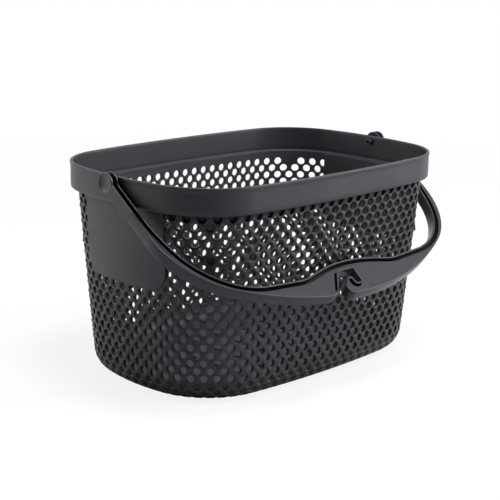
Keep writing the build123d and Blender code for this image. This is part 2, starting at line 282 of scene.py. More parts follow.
@dataclass(frozen=True)
class Recess:
    """Pocket sunk into one face of a slab, with straight walls or as a bowl."""

    contour: Array
    floor: float
    rounding: float = 0.35
    bowl: bool = False

    def levels(self, surface: float) -> list[Array]:
        """Rings from the mouth to the floor, whose mouth is rounded by a quarter circle.

        The walls go straight down, or for a bowl each ring is a smaller copy of the contour, and the depth
        grows with the square of how far it is from the contour's size.

        Args:
            surface: height of the face that the pocket is sunk into.

        Returns:
            Points of each ring, with their heights.
        """
        down = surface - self.floor
        rounding = np.sign(down) * self.rounding
        rings = [with_height(inset_contour(self.contour, -self.rounding - FLAT_MARGIN), surface)]
        for angle in np.radians((0, 45, 90)):
            moved = inset_contour(self.contour, -self.rounding * (1 - sin(angle)))
            rings.append(with_height(moved, surface - rounding * (1 - cos(angle))))
        if not self.bowl:
            return [*rings, with_height(self.contour, self.floor)]
        middle = self.contour.mean(axis=0)
        for share in (0.9, 0.75, 0.55, 0.35, 0.15):
            height = surface - rounding - (down - rounding) * (1 - share ** 2)
            rings.append(with_height(middle + share * (self.contour - middle), height))
        return rings

    def add_to(self, shape: Shape, surface: float, bend: Mapping) -> Array:
        """Adds the pocket's walls and floor.

        Args:
            shape: gathers the faces.
            surface: height of the face it is sunk into; its floor lies below or above.
            bend: carries flat points with a height to their place.

        Returns:
            The pocket's mouth in the face.
        """
        down = surface > self.floor
        levels = self.levels(surface)
        rings = np.stack([bend(level) for level in levels])
        shape.add_rings(rings if down else rings[:, ::-1])
        flat, triangles = filled([levels[-1][:, :2]])
        shape.add(bend(with_height(flat, levels[-1][0, 2])), triangles if down else triangles[:, ::-1])
        return levels[0][:, :2]


def add_slab(
    shape: Shape,
    contour: Array,
    low: float,
    high: float,
    rounding: float,
    bend: Mapping,
    top: Sequence[Recess] = (),
    bottom: Sequence[Recess] = (),
    spots: Array | None = None,
) -> None:
    """Adds a plate: a contour carried from one height to another, its edges rounded by quarter circles.

    Args:
        shape: gathers the faces.
        contour: outline that turns to the left.
        low: height of the lower face.
        high: height of the upper face.
        rounding: radius of the edges.
        bend: carries flat points with a height to their place.
        top: pockets in the upper face.
        bottom: pockets in the lower face.
        spots: inner points of both faces.
    """
    flat_edge = inset_contour(contour, rounding + FLAT_MARGIN)
    levels = [with_height(flat_edge, low)]
    for height, angles, side in ((low, (90, 60, 30, 0), -1), (high, (0, 30, 60, 90), 1)):
        for angle in np.radians(angles):
            moved = inset_contour(contour, rounding * (1 - np.cos(angle)))
            levels.append(with_height(moved, height - side * rounding * (1 - np.sin(angle))))
    levels.append(with_height(flat_edge, high))
    shape.add_rings(np.stack([bend(level) for level in levels]))
    for height, pockets, upward in ((low, bottom, False), (high, top, True)):
        mouths = [pocket.add_to(shape, height, bend) for pocket in pockets]
        flat, triangles = filled([flat_edge, *mouths], spots)
        shape.add(bend(with_height(flat, height)), triangles if upward else triangles[:, ::-1])


@dataclass(frozen=True)
class TubForm:
    """Bowed outline of the tub, leaning in towards the floor, in mm and degrees.

    Columns of the lattice are counted from the middle of the front towards the right.
    """

    length: float = 382.0
    width: float = 262.0
    corner: float = 74.0
    top: float = 220.0
    shoulder: float = 192.3
    shoulder_inset: float = 8.3
    end_foot_inset: float = 5.6
    side_foot_inset: float = 7.8
    foot_corner: float = 89.4
    side_bow: float = 5.6
    end_bow: float = 10.6
    wall: float = 4.0
    edge_radius: float = 22.0
    columns: int = 76
    pitch: float = 8.17
    share_inset: float = 5.0

    @property
    def edge_start(self) -> float:
        """Distance down the wall from the shoulder to the rounded lower edge."""
        return self.shoulder - self.edge_radius

    @property
    def quarter(self) -> float:
        """Columns in a quarter of the outline, from the middle of a side to the middle of an end."""
        return self.columns / 4

    def rim(self, inset: Array | float) -> Sizes:
        """Length, width and corner radius of the rim's outline, moved inwards."""
        inset = np.asarray(inset, float)
        return self.length - 2 * inset, self.width - 2 * inset, self.corner - inset

    def tub(self, height: Array) -> Sizes:
        """Sizes of the wall's outside, which change evenly with the height down to the rounded lower edge.

        Args:
            height: height above the floor.

        Returns:
            Length, width and corner radius.
        """
        length, width, corner = self.rim(self.shoulder_inset)
        down = 1 - np.maximum(height, self.edge_radius) / self.shoulder
        return (
            length - 2 * self.end_foot_inset * down,
            width - 2 * self.side_foot_inset * down,
            corner + (self.foot_corner - corner) * down,
        )

    def radii(self, sizes: Sizes) -> tuple[Array, Array]:
        """Radii of the long side's and the short end's arc that run smoothly into the corner arcs.

        They solve two equations: the three arcs together reach half of the length and half of the width.

        Args:
            sizes: length, width and corner radius.

        Returns:
            The side's radius and the end's radius.
        """
        length, width, corner = sizes
        a, b = radians(self.side_bow), radians(self.end_bow)
        along = length / 2 - corner * (cos(b) - sin(a))
        across = width / 2 - corner * (cos(a) - sin(b))
        share = sin(a) * sin(b) - (1 - cos(b)) * (1 - cos(a))
        side = (along * sin(b) - across * (1 - cos(b))) / share
        end = (across * sin(a) - along * (1 - cos(a))) / share
        return side, end

    def place(self, sizes: Sizes, turn: Array) -> tuple[Array, Array]:
        """Point of an outline where the outward normal is turned from -Y towards +X.

        The point lies on one of three arcs in each quarter, and is the arc's middle plus its radius times the
        sine and cosine of the turn.

        Args:
            sizes: length, width and corner radius.
            turn: turn in degrees.

        Returns:
            The x and y coordinates.
        """
        length, width, corner = sizes
        side, end = self.radii(sizes)
        turn = np.mod(turn, 360)
        folded = np.minimum(turn, 360 - turn)
        t = np.radians(np.minimum(folded, 180 - folded))
        a, b = radians(self.side_bow), radians(90 - self.end_bow)
        on_arc = [t <= a, t <= b]
        low = width / 2 - side * (1 - cos(a))
        x_corner = side * sin(a) + corner * (np.sin(t) - sin(a))
        y_corner = low - corner * (cos(a) - np.cos(t))
        x = np.select(on_arc, [side * np.sin(t), x_corner], length / 2 - end * (1 - np.sin(t)))
        y = np.select(on_arc, [width / 2 - side * (1 - np.cos(t)), y_corner], end * np.cos(t))
        return np.where(turn <= 180, x, -x), np.where(folded <= 90, -y, y)

    def shared_arcs(self, sizes: Sizes) -> tuple[Array, Array, Array, Array]:
        """Arcs that the columns share equally, each its radius on the outline moved inwards times its angle.

        Args:
            sizes: length, width and corner radius.

        Returns:
            Lengths of half a side's arc, a corner's arc and half an end's arc, and the length of one column.
        """
        side, end = self.radii(sizes)
        side_arc = (side - self.share_inset) * radians(self.side_bow)
        corner_arc = (sizes[2] - self.share_inset) * radians(90 - self.side_bow - self.end_bow)
        end_arc = (end - self.share_inset) * radians(self.end_bow)
        return side_arc, corner_arc, end_arc, (side_arc + corner_arc + end_arc) / self.quarter

    def from_end(self, column: Array | float) -> Array:
        """Columns between a place and the middle of the nearest end."""
        return np.abs(np.mod(column, 2 * self.quarter) - self.quarter)

    def turn(self, sizes: Sizes, column: Array) -> Array:
        """Turn in degrees at a column, which grows evenly along each of the three arcs.

        Args:
            sizes: length, width and corner radius.
            column: column, from 0 to the number of columns.

        Returns:
            The turn.
        """
        side_arc, corner_arc, end_arc, step = self.shared_arcs(sizes)
        column = np.mod(column, self.columns)
        distance = (self.quarter - self.from_end(column)) * step
        past_side = distance - side_arc
        on_side = self.side_bow * distance / side_arc
        on_corner = self.side_bow + (90 - self.side_bow - self.end_bow) * past_side / corner_arc
        on_end = 90 - self.end_bow + self.end_bow * (past_side - corner_arc) / end_arc
        turn = np.select([past_side <= 0, past_side <= corner_arc], [on_side, on_corner], on_end)
        half = 2 * self.quarter
        turn = np.where(np.minimum(column, self.columns - column) <= self.quarter, turn, 180 - turn)
        return np.where(column <= half, turn, 360 - turn)

    def path(self, along: Array) -> tuple[Array, Array, Array]:
        """Height, inset and downward tilt of the skin at a distance along it from the shoulder.

        The skin runs straight down, then round a quarter circle, then inwards over the floor.

        Args:
            along: distance along the skin.

        Returns:
            Height, inset from the wall's outline and tilt in radians.
        """
        tilt = np.clip((along - self.edge_start) / self.edge_radius, 0, pi / 2)
        past = np.maximum(along - self.edge_start - self.edge_radius * pi / 2, 0)
        curved = self.edge_radius * (1 - np.sin(tilt))
        height = np.where(along <= self.edge_start, self.shoulder - along, curved)
        return height, self.edge_radius * (1 - np.cos(tilt)) + past, tilt

    def height(self, along: Array) -> Array:
        """Height of the skin at a distance along it from the shoulder."""
        return self.path(along)[0]

    def column_width(self, column: Array | float, along: Array) -> Array:
        """Length of outline that one column takes, in proportion to the radius of the arc it lies on.

        Args:
            column: column.
            along: distance along the skin from the shoulder.

        Returns:
            The width in mm.
        """
        height, inset, _ = self.path(along)
        sizes = self.tub(height)
        side, end = self.radii(sizes)
        side_arc, corner_arc, _, step = self.shared_arcs(sizes)
        distance = (self.quarter - self.from_end(column)) * step
        on_arc = [distance <= side_arc, distance <= side_arc + corner_arc]
        radius = np.select(on_arc, [side, sizes[2]], end)
        return step * (radius - inset) / (radius - self.share_inset)

    def skin(self, column: Array, along: Array, depth: Array | float) -> Array:
        """Points of the wall by column, distance along the skin and depth below it.

        Args:
            column: column.
            along: distance along the skin from the shoulder.
            depth: distance below the outside, square to the skin.

        Returns:
            Points with a last axis of three.
        """
        column, along, depth = np.broadcast_arrays(column, along, depth)
        height, inset, tilt = self.path(along)
        sizes = self.tub(height)
        inset = inset + depth * np.cos(tilt)
        moved = (sizes[0] - 2 * inset, sizes[1] - 2 * inset, sizes[2] - inset)
        x, y = self.place(moved, self.turn(sizes, column))
        return np.stack([x, y, height + depth * np.sin(tilt)], axis=-1)

    def patch(self, middle: float, points: Array) -> Array:
        """Carries flat points onto the wall.

        Args:
            middle: column at the middle of the patch.
            points: distance across from that column, height and thickness outwards.

        Returns:
            Their places.
        """
        along = self.shoulder - points[:, 1]
        return self.skin(middle + points[:, 0] / self.column_width(middle, along), along, -points[:, 2])


class Cell(Enum):
    """What a cell of the lattice holds."""

    OPEN = "hole"
    DENT = "dent"
    PLAIN = "plain"


@dataclass
class Lattice:
    """Diamond-shaped cells of a wall section, each with a hole, a dent or nothing in it.

    A lip is a row of rings, each with its distance from the hole's edge and its depth. An end gives the
    distance from the wall's inside or the notch's floor instead of the depth.
    """

    form: TubForm
    dent_depth: float = 2.2
    knob_rise: float = 0.85
    knob_fade: Pair = (5.0, 40.0)
    largest_halves: Pair = (5.2, 4.7)
    hole_lip: tuple[Pair, ...] = ((0.5, 0.08), (0.15, 0.3), (0.0, 0.8))
    hole_end: tuple[Pair, ...] = ((0.0, 0.7), (0.5, 0.0))
    dent_lip: tuple[Pair, ...] = ((0.5, 0.08), (0.1, 0.45))
    dent_share: float = 0.85
    dent_rise: float = 0.2
    notch_radius: float = 4.1
    notch_top: float = 0.35
    notch_depth: float = 2.6
    notch_lip: tuple[Pair, ...] = ((0.6, 0.06), (0.1, 0.5))
    notch_end: tuple[Pair, ...] = ((0.0, 0.4), (-0.5, 0.0))
    column_keys: int = 600
    along_keys: int = 100
    shape: Shape = field(default_factory=Shape)
    borders: list[tuple[Array, Array, Array]] = field(default_factory=list)

    def add_cells(self, column: Array, along: Array, halves: Array, kind: Cell) -> None:
        """Adds cells: rings from the cell's edge over the hole's mouth into its bore and out inside.

        Args:
            column: middle of each cell.
            along: distance of each cell along the skin.
            halves: half of the width and height of each hole.
            kind: what the cells hold.
        """
        if len(column) == 0:
            return
        wall = self.form.wall
        third = np.array([0, 1 / 3, 2 / 3])
        u = np.concatenate([1 - third, -third, third - 1, third])
        v = np.concatenate([third, 1 - third, -third, third - 1])
        knobs = np.tile([1.0, 0.0, 0.0], 4)
        outer, inner = self.border(column[:, None] + 0.5 * u, along[:, None] - self.form.pitch * v, knobs)
        angle = np.arange(len(u)) * 2 * pi / len(u)
        width = self.form.column_width(column, along)

        def oval(grow: float, depth: float, share: float = 1.0) -> Array:
            """Oval round each hole's middle.

            Args:
                grow: how far it lies outside the hole's edge.
                depth: its depth below the skin.
                share: share of the hole's size, before it grows.

            Returns:
                Points as cells by points by three.
            """
            wide, tall = np.minimum(halves * share + grow, self.largest_halves).T[:, :, None]
            across = column[:, None] + wide * np.cos(angle) / width[:, None]
            return self.form.skin(across, along[:, None] - tall * np.sin(angle), depth)

        if kind is Cell.OPEN:
            bore = [*self.hole_lip, *((grow, wall - rest) for grow, rest in self.hole_end)]
            self.add_levels([outer, *(oval(*ring) for ring in bore), inner])
            return
        middle_depth = 0.0
        levels = [outer]
        if kind is Cell.DENT:
            middle_depth = self.dent_depth
            levels += [oval(*ring) for ring in self.dent_lip]
            levels.append(oval(0, self.dent_depth - self.dent_rise, self.dent_share))
            self.add_levels(levels)
        self.add_fans(levels[-1], self.form.skin(column, along, middle_depth))
        self.add_fans(inner, self.form.skin(column, along, wall), False)

    def border(self, column: Array, along: Array, knobs: Array) -> tuple[Array, Array]:
        """Loops round pieces of skin, whose edges are kept so that lone ones can be walled up.

        Args:
            column: columns of the loops' points.
            along: distances of the loops' points along the skin.
            knobs: 1 for points that stand proud, apart from the rounded lower edge, and 0 for others.

        Returns:
            The loops outside and inside.
        """
        rise = np.interp(self.form.height(along), self.knob_fade, (0.0, self.knob_rise))
        outer = self.form.skin(column, along, -rise * knobs)
        inner = self.form.skin(column, along, self.form.wall)
        middle_column = np.mod((column + np.roll(column, -1, axis=1)) / 2, self.form.columns)
        middle_along = (along + np.roll(along, -1, axis=1)) / 2
        turns = np.round(middle_column * self.column_keys) % (self.form.columns * self.column_keys)
        # The quarter keeps these numbers off whole ones, where their last digits would tip the key
        key = np.stack([turns, np.floor(middle_along * self.along_keys + 0.25)], axis=-1)
        pairs = [np.stack([loop, np.roll(loop, -1, axis=1)], axis=2) for loop in (outer, inner)]
        self.borders.append((key.reshape(-1, 2), *(pair.reshape(-1, 2, 3) for pair in pairs)))
        return outer, inner

    def add_many(self, points: Array, pattern: Array) -> None:
        """Adds the same faces for many cells.

        Args:
            points: points as cells by points by three.
            pattern: the faces of one cell.
        """
        starts = np.arange(len(points))[:, None, None] * points.shape[1]
        self.shape.add(points, (pattern[None] + starts).reshape(-1, pattern.shape[1]))

    def add_levels(self, levels: list[Array], closed: bool = True) -> None:
        """Adds the bands between rings or open lines that belong to many cells.

        Args:
            levels: for each ring, points as cells by points by three.
            closed: whether the rings close on themselves.
        """
        rings = np.stack(levels, axis=1)
        cells, rows, columns, _ = rings.shape
        self.add_many(rings.reshape(cells, -1, 3), ring_faces(rows, columns, closed))

    def add_fans(self, ring: Array, middle: Array, outward: bool = True) -> None:
        """Adds triangles from each ring to its middle.

        Args:
            ring: points as cells by points by three.
            middle: one point per cell.
            outward: whether they face outwards.
        """
        count = ring.shape[1]
        number = np.arange(count)
        pattern = np.stack([number, np.roll(number, -1), np.full(count, count)], axis=1)
        points = np.concatenate([ring, middle[:, None]], axis=1)
        self.add_many(points, pattern if outward else pattern[:, ::-1])

    def skirt(self, column: Array, zigzag: float, line: float) -> Array:
        """Adds the inside of the skin between the lattice's zigzag edge and a line above or below it.

        Args:
            column: columns where the zigzag comes nearest to the lattice's middle.
            zigzag: distance along the skin of those points.
            line: distance along the skin of the line.

        Returns:
            Loops outside, each with seven points on the zigzag and then seven on the line.
        """
        side = 1 if line < zigzag else -1
        step = side * np.arange(-3, 4) / 3
        columns = column[:, None] + 0.5 * np.concatenate([step, step[::-1]])
        along = np.concatenate([zigzag - side * self.form.pitch * np.abs(step), np.full(7, line)])
        knobs = np.isin(np.arange(14), (0, 3, 6))
        outer, inner = self.border(columns, np.tile(along, (len(column), 1)), knobs)
        self.add_levels([inner[:, :6:-1], inner[:, :7]], False)
        return outer

    def add_strip(self, column: Array, zigzag: float, line: float) -> None:
        """Adds plain skin between the lattice's zigzag edge and a line above or below it.

        Args:
            column: columns where the zigzag comes nearest to the lattice's middle.
            zigzag: distance along the skin of those points.
            line: distance along the skin of the line.
        """
        if len(column) > 0:
            outer = self.skirt(column, zigzag, line)
            self.add_levels([outer[:, :7], outer[:, :6:-1]], False)

    def add_notches(self, column: Array, zigzag: float, line: float) -> None:
        """Adds skin as add_strip does, with a blind notch in each column.

        Rings of fourteen points run from the edge of each piece of skin to the mouth of its notch, which is
        half a circle below and a straight line above, then over the lip and down to the notch's floor.

        Args:
            column: columns where the zigzag comes nearest to the lattice's middle.
            zigzag: distance along the skin of those points.
            line: distance along the skin of the line.
        """
        if len(column) == 0:
            return
        outer = self.skirt(column, zigzag, line)
        middle = zigzag - self.form.pitch
        width = self.form.column_width(column, np.full(len(column), middle))[:, None]
        angle = pi + pi * np.arange(7) / 6

        def mouth(grow: float, depth: float) -> Array:
            """Half circle with a straight top, round the notch's middle.

            Args:
                grow: how much its radius is more than the notch's.
                depth: its depth below the skin.

            Returns:
                Points as cells by points by three.
            """
            size = self.notch_radius + grow
            across = size * np.concatenate([np.cos(angle), np.arange(3, -4, -1) / 3])
            down = np.concatenate([middle - size * np.sin(angle), np.full(7, self.notch_top)])
            return self.form.skin(column[:, None] + across / width, down, depth)

        deep = self.notch_depth
        walls = [*self.notch_lip, *((grow, deep - rest) for grow, rest in self.notch_end)]
        rings = [outer, *(mouth(*ring) for ring in walls)]
        self.add_levels(rings)
        self.add_fans(rings[-1], self.form.skin(column, middle, deep))

    def close(self, skip_line: float | None = None) -> None:
        """Walls up the edges that belong to one loop alone.

        Args:
            skip_line: distance along the skin of edges that another surface closes.
        """
        key, outer, inner = (np.concatenate(parts) for parts in zip(*self.borders))
        _, index, count = np.unique(key, axis=0, return_inverse=True, return_counts=True)
        alone = count[index.ravel()] == 1
        if skip_line is not None:
            alone &= np.abs(key[:, 1] - skip_line * self.along_keys) > 2
        outer, inner = outer[alone], inner[alone]
        quads = np.stack([outer[:, 1], outer[:, 0], inner[:, 0], inner[:, 1]], axis=1)
        self.shape.add(quads, np.arange(4 * len(quads)).reshape(-1, 4))


class Section(Enum):
    """Sections of the wall, with the turns between which each one lies."""

    front_wall = (-5.6, 5.6)
    front_right_corner = (5.6, 79.4)
    right_end_wall = (79.4, 100.6)
    back_right_corner = (100.6, 174.4)
    back_wall = (174.4, 185.6)
    back_left_corner = (185.6, 259.4)
    left_end_wall = (259.4, 280.6)
    front_left_corner = (280.6, 354.4)


class Wiring:
    """Node tree of a material or a world, where one call makes a node and joins it to those before it."""

    def __init__(self, owner: Material | bpy.types.World) -> None:
        """Starts with an empty tree.

        Args:
            owner: the material or world.
        """
        owner.use_nodes = True
        self.tree = owner.node_tree
        self.tree.nodes.clear()

    def add(self, kind: str, inputs: dict[str | int, Any] | None = None, **settings: Any) -> Any:
        """Makes a node.

        Args:
            kind: type of the node, without the word that all types begin with.
            inputs: for each input by name or number, its value or the output that feeds it.
            settings: further properties of the node.

        Returns:
            The node's outputs.
        """
        node = self.tree.nodes.new(f"ShaderNode{kind}")
        for name, value in settings.items():
            setattr(node, name, value)
        for key, value in (inputs or {}).items():
            if isinstance(value, Socket):
                self.tree.links.new(value, node.inputs[key])
            else:
                node.inputs[key].default_value = value
        return node.outputs

    def remap(self, value: Socket, source: Pair, target: Pair = (0.0, 1.0)) -> Socket:
        """Carries a value from one range to another and keeps it there.

        Args:
            value: output that gives the value.
            source: range of the value.
            target: range of the result.

        Returns:
            The result.
        """
        ends = dict(zip(("From Min", "From Max", "To Min", "To Max"), (*source, *target)))
        return self.add("MapRange", {"Value": value, **ends})["Result"]

    def ramp(self, value: Socket, places: Pair, colours: Sequence[Triple], bend: str = "LINEAR") -> Socket:
        """Turns a value into a colour between two others.

        Args:
            value: output that gives the value.
            places: values at which the two colours are reached.
            colours: the two colours.
            bend: how the colours run into each other.

        Returns:
            The colour.
        """
        outputs = self.add("ValToRGB", {"Fac": value})
        colour_ramp = outputs["Color"].node.color_ramp
        colour_ramp.interpolation = bend
        for element, place, colour in zip(colour_ramp.elements, places, colours):
            element.position = place
            element.color = (*colour, 1)
        return outputs["Color"]


@dataclass(frozen=True)
class PlasticFinish:
    """Moulded charcoal plastic: fine grain, faint clouding, uneven gloss and painted shade in cavities, sizes
    in mm.
    """

    name: str
    dark: Triple
    pale: Triple
    roughness: Pair
    grain: float
    deepest_shade: float = 0.3
    shade_reach: float = 7.0
    shade_range: Pair = (0.38, 0.85)
    gloss: float = 0.5
    gloss_tint: Triple = (0.95, 0.92, 1.0)
    noise_range: Pair = (0.3, 0.7)
    cloud_size: float = 45.0
    cloud_detail: float = 3.0
    smudge_size: float = 14.0
    smudge_detail: float = 4.0
    grain_size: float = 0.9
    grain_detail: float = 2.0
    grain_depth: float = 0.05

    def material(self) -> Material:
        """Makes the material: noise at three sizes drives colour, gloss and bump, and painted shade darkens
        colour and gloss in cavities.

        Returns:
            The material.
        """
        material = bpy.data.materials.new(self.name)
        wiring = Wiring(material)
        place = wiring.add("TexCoord")["Object"]

        def noise(size: float, detail: float) -> Socket:
            """Noise whose blotches are so many millimetres wide."""
            scale = 1 / (size * MM)
            return wiring.add("TexNoise", {"Scale": scale, "Detail": detail, "Vector": place})["Fac"]

        clouds = noise(self.cloud_size, self.cloud_detail)
        colour = wiring.ramp(clouds, self.noise_range, (self.dark, self.pale))
        # Painted shade: ambient occlusion darkens the base colour and dims the gloss in holes, grooves and
        # recesses
        openness = wiring.add("AmbientOcclusion", {"Distance": self.shade_reach * MM}, samples=8)["AO"]
        painted_shade = wiring.remap(openness, self.shade_range, (self.deepest_shade, 1.0))
        shaded = wiring.add("VectorMath", {0: colour, "Scale": painted_shade}, operation="SCALE")["Vector"]
        shaded_shine = wiring.add("Math", {0: painted_shade, 1: self.gloss}, operation="MULTIPLY")["Value"]
        smudges = noise(self.smudge_size, self.smudge_detail)
        rough = wiring.remap(smudges, self.noise_range, self.roughness)
        grain = noise(self.grain_size, self.grain_detail)
        bump = {"Strength": self.grain, "Distance": self.grain_depth * MM, "Height": grain}
        shader = wiring.add("BsdfPrincipled", {
            "Base Color": shaded,
            "Specular IOR Level": shaded_shine,
            "Specular Tint": (*self.gloss_tint, 1),
            "Roughness": rough,
            "Normal": wiring.add("Bump", bump)["Normal"],
        })
        wiring.add("OutputMaterial", {"Surface": shader["BSDF"]})
        return material


@dataclass
class Tub:
    """Perforated tub with its rim, end panels, lugs and floor, in mm."""

    form: TubForm
    finish: Material
    smooth: Material
    base_finish: Material
    first_row: float = 181.0
    rows: int = 20
    dent_rows: int = 3
    base_dent_half: float = 3.6
    base_dent_depth: float = 1.8
    strip_top: float = -0.6
    hole_heights: tuple[float, ...] = (60.0, 120.0, 148.0, 175.0)
    hole_half_widths: tuple[float, ...] = (3.7, 4.1, 4.3, 4.65)
    hole_half_heights: tuple[float, ...] = (4.0, 3.7, 3.8, 4.15)
    lattice_sharp: float = 50.0
    floor_line: float = 206.5
    floor_ring: float = 0.5
    edge_points: int = 6
    panel_half: float = 59.5
    panel_low: float = 112.3
    panel_corner: float = 20.0
    panel_proud: float = 1.2
    panel_overlap: float = 0.5
    panel_edge: float = 0.7
    panel_cover: float = 1.5
    panel_margin: float = 4.0
    panel_top_margin: float = 3.0
    panel_spot_gap: float = 2.5
    panel_grid: tuple[int, int] = (25, 12)
    panel_arc_step: float = 9.0
    panel_run: float = 5.0
    lug_column: float = 11.5
    lug_row: int = 6
    lug_dent_rows: tuple[int, int] = (0, 4)
    lug_low: float = 131.0
    lug_height: float = 11.0
    lug_half: float = 5.0
    lug_reach: float = 2.4
    lug_sink: float = 1.5
    lug_edge: float = 0.6
    lug_top_share: float = 0.12
    lug_rounding: Pair = (1.2, 1.6)
    lug_arc_step: float = 22.0
    lug_run: float = 2.5
    pivot_hole: float = 3.35
    band_insets: Pair = (0.5, 3.1)
    band_low: float = 199.0
    band_rounding: float = 2.4
    ledge_overlap: float = 0.05
    ledge_height: float = 0.8
    rim_turns: tuple[int, int, int] = (27, 21, 9)
    frame_half: float = 8.0
    frame_ends: Pair = (205.0, 217.5)
    frame_faces: Pair = (205.0, 216.0)
    floor_columns: int = 5
    floor_rows: int = 4
    floor_pitch: float = 36.0
    drain_half: Pair = (5.0, 12.5)
    drain_rounding: Pair = (0.8, 0.4)
    drain_arc_step: float = 30.0

    def hole_halves(self, height: Array) -> Array:
        """Half of a hole's width and height, which change evenly between the heights that are given.

        Args:
            height: heights of the holes' middles.

        Returns:
            One row of half width and half height per hole.
        """
        halves = (self.hole_half_widths, self.hole_half_heights)
        return np.stack([np.interp(height, self.hole_heights, half) for half in halves], axis=-1)

    def cells(self, row: int, turns: Pair = (0.0, 360.0)) -> tuple[Array, Array]:
        """Places of one row of cells.

        Args:
            row: row, counted from the shoulder.
            turns: turns between which the cells lie.

        Returns:
            Columns and distances along the skin.
        """
        column = np.arange(self.form.columns) + (0.5 if row % 2 == 0 else 0.0)
        along = np.full(len(column), self.form.shoulder - self.first_row + self.form.pitch * row)
        turn = self.form.turn(self.form.tub(self.form.height(along)), column)
        inside = np.mod(turn - turns[0], 360) < turns[1] - turns[0]
        return column[inside], along[inside]

    def under_panel(self, column: Array, along: Array) -> Array:
        """Whether cells lie behind an end panel, well inside its outline.

        Args:
            column: middle of each cell.
            along: distance of each cell along the skin.

        Returns:
            One truth value per cell.
        """
        height = self.form.height(along)
        across = self.form.from_end(column) * self.form.column_width(self.form.quarter, along)
        low = self.panel_low + self.panel_cover
        return (across < self.panel_width_at(height) - self.panel_cover) & (height > low)

    def panel_width_at(self, height: Array) -> Array:
        """Half of a panel's width at a height, less where its lower corners are rounded."""
        rise = np.clip(self.panel_corner - (height - self.panel_low), 0, self.panel_corner)
        return self.panel_half - self.panel_corner + np.sqrt(self.panel_corner ** 2 - rise ** 2)

    def build_walls(self) -> None:
        """Builds the eight wall sections, each standing for the solid of its name."""
        for section in Section:
            lattice = Lattice(self.form)
            for row in range(self.rows):
                column, along = self.cells(row, section.value)
                halves = self.hole_halves(self.form.height(along))
                at_lug = np.abs(self.form.quarter - self.form.from_end(column) - self.lug_column) < 0.1
                dent = at_lug & (row in self.lug_dent_rows)
                plain = self.under_panel(column, along) | (at_lug & (row == self.lug_row))
                for kind, chosen in ((Cell.PLAIN, plain), (Cell.DENT, dent), (Cell.OPEN, ~plain & ~dent)):
                    lattice.add_cells(column[chosen], along[chosen], halves[chosen], kind)
            column, along = self.cells(-1, section.value)
            covered = self.under_panel(column, along)
            zigzag = self.form.shoulder - self.first_row
            lattice.add_strip(column[covered], zigzag, self.strip_top)
            lattice.add_notches(column[~covered], zigzag, self.strip_top)
            lattice.close()
            name = f"{section.name}_lattice"
            lattice.shape.build(name, self.finish, "tub", section.name, self.lattice_sharp)

    def drains(self) -> list[Array]:
        """Outlines of the floor's drain holes: diamonds with slightly rounded corners, in rows.

        Returns:
            One contour per drain hole.
        """
        wide, tall = self.drain_half
        side, tip = self.drain_rounding
        start = (wide / 2, -tall / 2, 0)
        corners = [(wide, 0, side), (0, tall, tip), (-wide, 0, side), (0, -tall, tip)]
        drain = rounded_corners([start, *corners, start], self.drain_arc_step)[:-1]
        rows = np.arange(self.floor_rows) - (self.floor_rows - 1) / 2
        columns = np.arange(self.floor_columns) - (self.floor_columns - 1) / 2
        return [drain + self.floor_pitch * np.array((column, row)) for row in rows for column in columns]

    def build_base(self) -> None:
        """Builds the rounded lower edge with its dents, and the floor with its drain holes."""
        lattice = Lattice(self.form, self.base_dent_depth)
        last = self.rows + self.dent_rows
        for row in range(self.rows, last):
            column, along = self.cells(row)
            lattice.add_cells(column, along, np.full((len(column), 2), self.base_dent_half), Cell.DENT)
        column, along = self.cells(last)
        lattice.add_strip(column, along[0] - self.form.pitch, self.floor_line)
        lattice.close(self.floor_line)
        columns = np.arange(self.form.columns * self.edge_points) / self.edge_points
        drains = self.drains()
        for depth, upward in ((0.0, False), (self.form.wall, True)):
            loop = self.form.skin(columns, self.floor_line, depth)
            flat_edge = inset_contour(loop[:, :2], self.floor_ring)
            rings = np.stack([loop, with_height(flat_edge, depth)])
            lattice.shape.add_rings(rings if upward else rings[::-1])
            flat, triangles = filled([flat_edge, *drains])
            lattice.shape.add(with_height(flat, depth), triangles if upward else triangles[:, ::-1])
        for drain in drains:
            lattice.shape.add_rings(np.stack([with_height(drain, z) for z in (self.form.wall, 0.0)]))
        lattice.shape.build("base_pan_rounded", self.base_finish, "tub", "base_pan", self.lattice_sharp)

    def build_panels(self) -> None:
        """Builds a smooth plate on each end: an outline that is bent onto the wall and as thick as it."""
        top = self.form.shoulder + self.panel_overlap
        half, low, corner = self.panel_half, self.panel_low, self.panel_corner
        margin = self.panel_margin
        start = (half, top - margin, 0.0)
        path = [start, (half, top, 0.0), (-half, top, 0.0), (-half, low, corner), (half, low, corner), start]
        contour = evened(rounded_corners(path, self.panel_arc_step)[:-1], self.panel_run)
        across, upward = self.panel_grid
        widths = np.linspace(margin - half, half - margin, across)
        heights = np.linspace(low + margin, top - self.panel_top_margin, upward)
        spots = np.stack(np.meshgrid(widths, heights), axis=-1).reshape(-1, 2)
        spots = spots[np.abs(spots[:, 0]) < self.panel_width_at(spots[:, 1]) - self.panel_spot_gap]
        for side, middle in (("right", self.form.quarter), ("left", 3 * self.form.quarter)):

            def bend(points: Array) -> Array:
                """Carries width, height and thickness onto the end wall."""
                return self.form.patch(middle, points)

            shape = Shape()
            inside = -self.form.wall - self.panel_overlap
            add_slab(shape, contour, inside, self.panel_proud, self.panel_edge, bend, spots=spots)
            shape.build(f"{side}_end_panel_plate", self.smooth, "tub", f"{side}_end_panel")

    def build_lugs(self) -> None:
        """Builds the four corner wedges: a rounded plate whose outside leans back to the wall at its top."""
        shape = Shape()
        half, low, height = self.lug_half, self.lug_low, self.lug_height
        high = low + height
        foot, head = self.lug_rounding
        start = (0, low, 0)
        path = [start, (half, low, foot), (half, high, head), (-half, high, head), (-half, low, foot), start]
        contour = evened(rounded_corners(path, self.lug_arc_step)[:-1], self.lug_run)
        half_columns = 2 * self.form.quarter
        for column in (self.lug_column, half_columns - self.lug_column):
            for middle in (column, column + half_columns):

